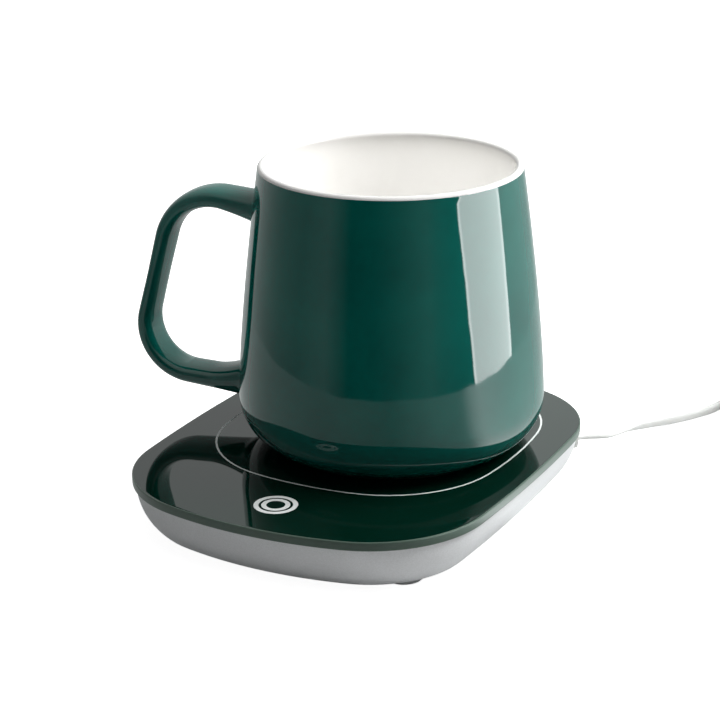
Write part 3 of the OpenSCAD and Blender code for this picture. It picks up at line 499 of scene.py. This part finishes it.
def make_mug_body():
    """Body of the mug, turned from the middle of its underside up the wall, over the lip and down inside."""
    green, white, clay = 0, 1, 2
    # Angles round the foot and the lip, in degrees, where the next coat begins
    clay_until, green_until = 12, 14
    side_steps, sides = 40, 192
    foot_r = BELLY_R - ROUND_R
    profile = [(27.7, 1.2, clay), (28.4, 0.95, clay), (28.75, 0.4, clay), (29.0, 0.1, clay), (29.4, 0, clay)]
    for a in range(0, 91, 3):
        r, z = foot_r + ROUND_R * sin(radians(a)), ROUND_R * (1 - cos(radians(a)))
        profile.append((r, z, clay if a < clay_until else green))
    for i in range(1, side_steps):
        z = ROUND_R + (LIP_Z - ROUND_R) * i / side_steps
        profile.append((mug_radius(z), z, green))
    lip_mid = mug_radius(LIP_Z) - LIP_R
    for a in range(0, 180, 7):
        profile.append((lip_mid + LIP_R * cos(radians(a)), LIP_Z + LIP_R * sin(radians(a)),
                        green if a < green_until else white))
    low = BOTTOM_T + INSIDE_ROUND
    for i in range(side_steps):
        z = LIP_Z + (low - LIP_Z) * i / side_steps
        profile.append((mug_radius(z) - LIP_T - (WALL - LIP_T) * i / side_steps, z, white))
    inside_r = mug_radius(low) - WALL
    for a in range(90, -1, -5):
        r, z = inside_r - INSIDE_ROUND * (1 - sin(radians(a))), low - INSIDE_ROUND * cos(radians(a))
        profile.append((r, z, white))
    turns = [2 * pi * s / sides for s in range(sides)]
    rings = [[(MUG_X + r * cos(t), MUG_Y + r * sin(t), GLASS_TOP + z) for t in turns] for r, z, _ in profile]
    body = make_piece("mug_glazed_body", rings, "mug", [GREEN_GLAZE, WHITE_GLAZE, BARE_CLAY],
                      [coat for _, _, coat in profile[:-1]])
    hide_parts("mug_body")


def bent_line(corners, radii, straight_steps, bend_steps):
    """Line through corner points, each inner one rounded by an arc of its own radius."""
    line = []
    start = Vector(corners[0])
    for i, radius in enumerate(radii):
        before, corner, after = (Vector(c) for c in corners[i:i + 3])
        u, v = (before - corner).normalized(), (after - corner).normalized()
        half = acos(u.dot(v)) / 2
        mid = corner + (u + v).normalized() * radius / sin(half)
        first, last = corner + u * radius / tan(half) - mid, corner + v * radius / tan(half) - mid
        sweep = pi - 2 * half
        line += [start.lerp(mid + first, s / straight_steps[i]) for s in range(straight_steps[i])]
        for t in (s / bend_steps for s in range(bend_steps)):
            line.append(mid + (first * sin((1 - t) * sweep) + last * sin(t * sweep)) / sin(sweep))
        start = mid + last
    end, steps = Vector(corners[-1]), straight_steps[-1]
    return line + [start.lerp(end, s / steps) for s in range(steps + 1)]


def make_mug_handle():
    """Handle: one bent strap of soft rectangular section, thinnest at the grip. Each arm grows towards the
    other where it joins the wall, with a small web of glaze round it."""
    top_t, grip_t, low_t, wide = 8.7, 4.6, 7.7, 13.25
    top_flare, low_flare, flare_l, flare_power = 0.15, 0.6, 13.5, 1.6
    web_l, web_t = 2.2, 0.6
    sunk = 2.2
    squareness, sides = 2.6, 40
    plane = radians(187)
    corners = [(38, 70.3), (70.8, 74.7), (87.2, 14.8), (43.4, 11.94)]
    line = bent_line(corners, radii=(18.75, 15.75), straight_steps=(30, 15, 30), bend_steps=27)
    rings = []
    for i, point in enumerate(line):
        off = point.x - mug_radius(point.y)
        if off < -sunk:
            continue
        off = max(0, off)
        way = (line[min(i + 1, len(line) - 1)] - line[max(i - 1, 0)]).normalized()
        out = Vector((way.y, -way.x))
        half = 2 * i / (len(line) - 1) - 1
        end_t, most, side = (top_t, top_flare, -1) if half < 0 else (low_t, low_flare, 1)
        thick = grip_t + (end_t - grip_t) * abs(half)
        grow = 1 + most * max(0, 1 - off / flare_l) ** flare_power
        web = web_t * max(0, 1 - off / web_l) ** 2
        shift = side * (grow - 1) * thick / 2
        ring = []
        for b, a in oval(sqrt(grow) * wide / 2 + web, grow * thick / 2 + web, squareness, sides):
            r, z = point.x + a * out.x, point.y + a * out.y + shift
            ring.append((MUG_X + r * cos(plane) - b * sin(plane), MUG_Y + r * sin(plane) + b * cos(plane),
                         GLASS_TOP + z))
        rings.append(ring)
    handle = make_piece("mug_glazed_handle", rings, "mug", [GREEN_GLAZE])
    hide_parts("mug_handle")


make_mug_body()
make_mug_handle()


# Pad: a glass plate on a bowl-shaped shell, both with bowed sides and round corners

HALF_W, HALF_D, PAD_CORNER, SIDE_BOW, END_BOW = 115.7 / 2, 143.8 / 2, 37, 600, 120
GLASS_LOW = 15.7
SHELL_LOW = 1.5


def corner_centre():
    """Middle of the corner arc that runs smoothly into the two bowed sides beside it."""
    a, b = HALF_W - SIDE_BOW, HALF_D - END_BOW
    reach_a, reach_b = SIDE_BOW - PAD_CORNER, END_BOW - PAD_CORNER
    gap = hypot(a, b)
    along = (reach_a ** 2 - reach_b ** 2 + gap ** 2) / (2 * gap)
    off = sqrt(reach_a ** 2 - along ** 2)
    return a - along * a / gap - off * b / gap, along * b / gap - off * a / gap


def pad_ring(inset, z):
    """Points round the pad, drawn in from its outline, at a height."""
    qx, qy = corner_centre()
    bow_x, bow_y = HALF_W - SIDE_BOW, HALF_D - END_BOW
    a, b = degrees(atan2(qy, qx - bow_x)), degrees(atan2(qy - bow_y, qx))
    corner, side, end = PAD_CORNER - inset, SIDE_BOW - inset, END_BOW - inset
    steps, end_steps = 24, 28
    flat = arc((bow_x, 0), side, -a, a, steps)
    flat += arc((qx, qy), corner, a, b, steps)
    flat += arc((0, bow_y), end, b, 180 - b, end_steps)
    flat += arc((-qx, qy), corner, 180 - b, 180 - a, steps)
    flat += arc((-bow_x, 0), side, 180 - a, 180 + a, steps)
    flat += arc((-qx, -qy), corner, 180 + a, 180 + b, steps)
    flat += arc((0, -bow_y), end, 180 + b, 360 - b, end_steps)
    flat += arc((qx, -qy), corner, 360 - b, 360 - a, steps)
    return [(x, y, z) for x, y in flat]


def make_glass():
    """Glass plate with rounded, ground edges. Its face lies a hair under the printed marks."""
    face, edge = 0, 1
    # Depth of the face under the marks, the edge's round, and how far in from it the faces begin
    hair, r, under_in, face_in = 0.02, 0.4, 1.5, 0.6
    top = GLASS_TOP - hair
    levels = [(r * (1 - sin(radians(a))), GLASS_LOW + r * (1 - cos(radians(a)))) for a in range(0, 91, 18)]
    levels += [(r * (1 - sin(radians(a))), top - r * (1 - cos(radians(a)))) for a in range(90, -1, -18)]
    rings = [pad_ring(r + under_in, GLASS_LOW)] + [pad_ring(i, z) for i, z in levels]
    rings += [pad_ring(r + face_in, top)]
    bands = [edge] * (len(rings) - 2) + [face]
    glass = make_piece("glass_plate", rings, "warmer", [GLASS_FACE, GLASS_EDGE], bands)
    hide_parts("glass_top")


def make_shell():
    """Shell: a bowl that draws in towards its flat bottom, hollow, with a small round at the bottom edge."""
    draw_r, overhang, wall, round_r = 18.06, 1.1, 2, 1.2
    steps, inside_steps = 26, 12
    # The round at the bottom edge, in parts of its radius: in from the outline, and up
    bottom_edge = ((2, 0), (0.62, 0), (0.36, 0.05), (0.12, 0.14))
    edge_top = 0.4

    def draw(z):
        """How far the outside is drawn in from the pad's outline at a height."""
        return overhang + draw_r - sqrt(draw_r ** 2 - (GLASS_LOW - z) ** 2)

    low = SHELL_LOW + round_r * edge_top
    levels = [(draw(SHELL_LOW) + round_r * k, SHELL_LOW + round_r * h) for k, h in bottom_edge]
    levels += [(draw(z), z) for z in (low + (GLASS_LOW - low) * i / steps for i in range(steps + 1))]
    drop = SHELL_LOW + wall - GLASS_LOW
    inside = (GLASS_LOW + drop * i / inside_steps for i in range(inside_steps + 1))
    levels += [(draw(z) + wall, z) for z in inside]
    shell = make_piece("silver_shell", [pad_ring(i, z) for i, z in levels], "warmer", [SILVER])
    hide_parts("base_shell")


make_glass()
make_shell()


# Finishes of the solids that keep their own shape

NODE_FINISHES = {
    PRINT_INK: ["zone_line", "touch_symbol"],
    FOOT_RUBBER: ["rubber_feet"],
    PLUG_PVC: ["cord_gland", "cord_clamp", "cord_inside"],
    NICKEL: ["touch_spring"],
    GOLD: ["plug_contacts"],
    NYLON: ["plug_tongue", "wire_connectors"],
    # ABS frame in the shell's grey, as moulded
    mottled("moulded_grey_abs", "#6d6f70", "#7a7c7d", 0.5, 0.7, 0.02): ["glass_carrier"],
    # Closed-cell foam tape, black and porous
    mottled("foam_tape", "#1c1c1c", "#2b2b2b", 0.9, 0.4, 0.1): ["glass_gasket"],
    # Rolled aluminium plate with a fine mill finish
    mottled("mill_aluminium", "#b5b7b9", "#cdcfd0", 0.35, 1.5, 0.005, 1.0): ["heater_plate"],
    # Amber polyimide film over a printed heating track
    mottled("polyimide_film", "#a8641c", "#c07a2a", 0.3, 3, 0.004): ["heater_film"],
    # Needled ceramic felt, white and hairy
    mottled("ceramic_felt", "#d9d5cb", "#efece4", 0.95, 0.5, 0.15): ["insulation_felt"],
    # Zinc plated steel, slightly blue and cloudy
    mottled("zinc_plated_steel", "#a9adb2", "#c3c7ca", 0.35, 1.8, 0.004, 1.0): [
        "heater_retainer", "retainer_screws", "board_screws", "case_screws", "clamp_screws"],
    # Green solder resist over glass fibre laminate
    mottled("solder_resist", "#0e4a2a", "#145a35", 0.35, 0.6, 0.01): ["control_board"],
    # Black moulded epoxy of the electronic parts
    mottled("moulded_epoxy", "#141414", "#222222", 0.55, 0.3, 0.01): [
        "control_chip", "power_transistor", "filter_capacitor", "thermistor"],
    # Clear diffused epoxy of the indicator
    mottled("diffused_epoxy", "#d8dcdc", "#eef0f0", 0.3, 0.5, 0.005): ["indicator_led"],
    # Cream ceramic of the fuse body
    mottled("fuse_ceramic", "#cfc2a4", "#ddd2b8", 0.5, 0.6, 0.01): ["thermal_fuse"],
    # Silicone sleeve of the wires
    mottled("red_silicone", "#8f1d1a", "#a32723", 0.5, 1.2, 0.01): ["heater_wires", "supply_wires"],
    mottled("blue_silicone", "#1c2f6b", "#263c80", 0.5, 1.2, 0.01): ["sensor_wires"],
}
for finish, names in NODE_FINISHES.items():
    for name in names:
        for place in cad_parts[name].material_slots:
            place.material = finish


# Studio: a white table, soft lamps, and a surround that the glaze and the glass mirror

# Soft box: its sides in degrees to the right of the camera, how far its left side leans, and its level
SOFT_BOX_FROM, SOFT_BOX_TO = 53.5, 100.5
SOFT_BOX_LEAN, SOFT_BOX_LEVEL = degrees(0.75), 8.0
# Light round the mirrored room, and painted light over the mirrored table: a turn in degrees, and the level
# there
ROOM_LEVELS = [
    (-180, 0.65), (-140, 0.6), (-120, 0.5), (-95, 0.3), (-75, 0.24), (-52, 0.36), (-33, 0.01), (-14, 0.02),
    (2, 0.09), (28, 0.26), (37, 0.16), (50, 0.1), (97, 0.1), (100, 1.35), (106, 1.3), (125, 0.92),
    (150, 0.6), (180, 0.98)]
TABLE_LEVELS = [
    (-180, 0.5), (-120, 0.6), (-75, 0.52), (-30, 0.4), (0, 0.3), (25, 0.6), (42, 0.7), (47, 0.9), (54, 2.3),
    (60, 3.0), (70, 2.6), (85, 1.9), (100, 1.45), (115, 1.0), (130, 0.85), (150, 0.75), (180, 0.5)]
# Cool tint of that light, as parts of red, green and blue
LEVEL_TINT = (0.98, 1.03, 1.02)


def add_turn(tree, way):
    """Node output: direction in degrees round the object, 0 towards the camera and growing to its right."""
    parts = add(tree, "ShaderNodeSeparateXYZ", {0: way})
    angle = add(tree, "ShaderNodeMath", {0: parts.outputs[1], 1: parts.outputs[0]}, operation="ARCTAN2")
    turned = add(tree, "ShaderNodeMath", {0: angle.outputs[0], 1: pi / 2 - CAMERA_TURN}, operation="ADD")
    wrapped = add(tree, "ShaderNodeMath", {0: turned.outputs[0], 1: pi, 2: -pi}, operation="WRAP")
    return add(tree, "ShaderNodeMath", {0: wrapped.outputs[0]}, operation="DEGREES").outputs[0]


def add_levels(tree, turn, levels):
    """Node output: light that changes round the object, from pairs of a turn and the level there."""
    round_room = add(tree, "ShaderNodeMapRange", {"Value": turn, "From Min": -180, "From Max": 180})
    room = add(tree, "ShaderNodeValToRGB", {0: round_room.outputs[0]})
    stops = room.color_ramp.elements
    for a, _ in levels[1:-1]:
        stops.new((a + 180) / 360)
    for stop, (_, level) in zip(stops, levels):
        stop.color = (*(level * part for part in LEVEL_TINT), 1)
    return room.outputs[0]


def make_surround():
    """World: white to the camera, a little even light to matt surfaces, and a studio for what mirrors it. The
    studio has a soft box with bright rims at the right, a dark front, and pale walls behind and overhead."""
    even_light, ceiling_white, paper_white = (0.05, 0.05, 0.05, 1), (0.9, 0.89, 0.87, 1), (1, 1, 1, 1)
    # Heights in the room, as the sine of the rise
    box_top, box_gone, ceiling_from, ceiling_to = 0.25, 0.3, 0.4, 0.8
    # The soft box's left rim against its middle, and what its right rim adds
    left_gain, right_gain = 1.5, 0.12
    world = bpy.data.worlds.new("studio")
    world.use_nodes = True
    scene.world = world
    tree = world.node_tree
    tree.nodes.clear()
    way = add(tree, "ShaderNodeTexCoord").outputs["Generated"]
    turn = add_turn(tree, way)
    height = add(tree, "ShaderNodeSeparateXYZ", {0: way}).outputs[2]
    room = add_levels(tree, turn, ROOM_LEVELS)
    slant = add(tree, "ShaderNodeMath", {0: height, 1: SOFT_BOX_LEAN, 2: turn}, operation="MULTIPLY_ADD")
    left = add(tree, "ShaderNodeMapRange", {"Value": slant.outputs[0], "From Min": SOFT_BOX_FROM,
                                            "From Max": SOFT_BOX_FROM + 1})
    right = add(tree, "ShaderNodeMapRange", {"Value": turn, "From Min": SOFT_BOX_TO + 1,
                                             "From Max": SOFT_BOX_TO})
    top = add(tree, "ShaderNodeMapRange", {"Value": height, "From Min": box_gone, "From Max": box_top,
                                           "To Max": SOFT_BOX_LEVEL})
    left_rim = add(tree, "ShaderNodeMapRange", {"Value": slant.outputs[0], "From Min": SOFT_BOX_FROM + 1.5,
                                                "From Max": SOFT_BOX_FROM + 3, "To Min": left_gain,
                                                "To Max": 1})
    right_rim = add(tree, "ShaderNodeMapRange", {"Value": turn, "From Min": SOFT_BOX_TO - 3,
                                                 "From Max": SOFT_BOX_TO - 1, "To Max": right_gain})
    rims = add(tree, "ShaderNodeMath", {0: left_rim.outputs[0], 1: right_rim.outputs[0]}, operation="ADD")
    inside = add(tree, "ShaderNodeMath", {0: left.outputs[0], 1: right.outputs[0]}, operation="MULTIPLY")
    across = add(tree, "ShaderNodeMath", {0: inside.outputs[0], 1: rims.outputs[0]}, operation="MULTIPLY")
    box = add(tree, "ShaderNodeMath", {0: across.outputs[0], 1: top.outputs[0]}, operation="MULTIPLY")
    ceiling = add(tree, "ShaderNodeMapRange", {"Value": height, "From Min": ceiling_from,
                                               "From Max": ceiling_to})
    roofed = add(tree, "ShaderNodeMix", {"Factor": ceiling.outputs[0], "A": room, "B": ceiling_white},
                 data_type="RGBA")
    mirrored = add(tree, "ShaderNodeMix", {"Factor": 1.0, "A": roofed.outputs["Result"], "B": box.outputs[0]},
                   data_type="RGBA", blend_type="ADD")
    ray = add(tree, "ShaderNodeLightPath")
    seen = add(tree, "ShaderNodeMix", {"Factor": ray.outputs["Is Glossy Ray"], "A": even_light,
                                       "B": mirrored.outputs["Result"]}, data_type="RGBA")
    clear = add(tree, "ShaderNodeMath", {0: ray.outputs["Is Camera Ray"],
                                         1: ray.outputs["Is Transmission Ray"]}, operation="MAXIMUM")
    final = add(tree, "ShaderNodeMix", {"Factor": clear.outputs[0], "A": seen.outputs["Result"],
                                        "B": paper_white}, data_type="RGBA")
    back = add(tree, "ShaderNodeBackground", {"Color": final.outputs["Result"]})
    add(tree, "ShaderNodeOutputWorld", {"Surface": back.outputs[0]})


def make_disc(name, radius, z, material):
    """Flat disc under the mug, which is stage and not part of the object."""
    sides = 128
    mesh = bpy.data.meshes.new(name)
    ring = [(MUG_X + x, MUG_Y + y, z) for x, y in arc((0, 0), radius, 0, 360, sides)]
    mesh.from_pydata([Vector(p) * MM for p in ring], [], [tuple(range(sides))])
    mesh.materials.append(material)
    disc = bpy.data.objects.new(name, mesh)
    scene.collection.objects.link(disc)
    return disc


def make_table():
    """White table that takes the shadow, and the round part of it that the mug and the shell mirror, which is
    painted light that glows and changes round the mug, and a little darker close to the mug with painted
    shade."""
    table_r, table_white, camera_glow = 6000, (0.65, 0.65, 0.65, 1), 0.94
    mirrored_r, mirrored_z = 262, -0.5
    # Painted shade on the mirrored part close to the mug: from the first to the second distance from the
    # mug's axis, in millimetres, it lifts from this level to full
    shade_from, shade_to, shade = 61, 64, 0.75
    material, tree, _ = start_finish("white_table")
    matt = add(tree, "ShaderNodeBsdfDiffuse", {"Color": table_white})
    ray = add(tree, "ShaderNodeLightPath")
    lift = add(tree, "ShaderNodeMath", {0: ray.outputs["Is Camera Ray"], 1: camera_glow},
               operation="MULTIPLY")
    glow = add(tree, "ShaderNodeEmission", {"Strength": lift.outputs[0]})
    both = add(tree, "ShaderNodeAddShader", {0: matt.outputs[0], 1: glow.outputs[0]})
    add(tree, "ShaderNodeOutputMaterial", {"Surface": both.outputs[0]})
    table = make_disc("table", table_r, 0, material)
    table.visible_glossy = False

    # The mirrored part glows with painted light of the table, by turn round the mug, dimmed by painted shade
    # close to the mug
    material, tree, place = start_finish("table_mirrored_painted_light")
    middle = add(tree, "ShaderNodeVectorMath", {0: place, 1: (MUG_X * MM, MUG_Y * MM, 0)},
                 operation="SUBTRACT")
    level = add_levels(tree, add_turn(tree, middle.outputs[0]), TABLE_LEVELS)
    away = add(tree, "ShaderNodeVectorMath", {0: middle.outputs[0]}, operation="LENGTH")
    out_of_painted_shade = add(tree, "ShaderNodeMapRange", {"Value": away.outputs["Value"], "From Min": shade_from * MM,
                                                 "From Max": shade_to * MM, "To Min": shade})
    glow = add(tree, "ShaderNodeEmission", {"Color": level, "Strength": out_of_painted_shade.outputs[0]})
    add(tree, "ShaderNodeOutputMaterial", {"Surface": glow.outputs[0]})
    mirrored = make_disc("table_mirrored", mirrored_r, mirrored_z, material)
    mirrored.visible_camera = mirrored.visible_diffuse = mirrored.visible_shadow = False
    mirrored.visible_transmission = False
    material.cycles.emission_sampling = "NONE"


def make_lamp(name, turn, rise, distance, size, power):
    """Round soft lamp that faces the mug; turn is to the right of the camera, rise above the table."""
    aim = Vector((MUG_X, MUG_Y, 40))
    a, b = radians(turn) + CAMERA_TURN - pi / 2, radians(rise)
    way = Vector((cos(a) * cos(b), sin(a) * cos(b), sin(b)))
    data = bpy.data.lights.new(name, "AREA")
    data.shape = "DISK"
    data.size = size * MM
    data.energy = power
    lamp = bpy.data.objects.new(name, data)
    lamp.location = (aim + distance * way) * MM
    lamp.rotation_euler = way.to_track_quat("Z", "Y").to_euler()
    lamp.visible_glossy = lamp.visible_camera = False
    scene.collection.objects.link(lamp)


make_surround()
make_table()
make_lamp("key_right", turn=101, rise=47, distance=1100, size=850, power=18.5)
make_lamp("overhead", turn=20, rise=88, distance=1200, size=900, power=3.3)
# Close over the mug's mouth, shining into it
make_lamp("mouth_fill", turn=0, rise=90, distance=65, size=66, power=0.0105)
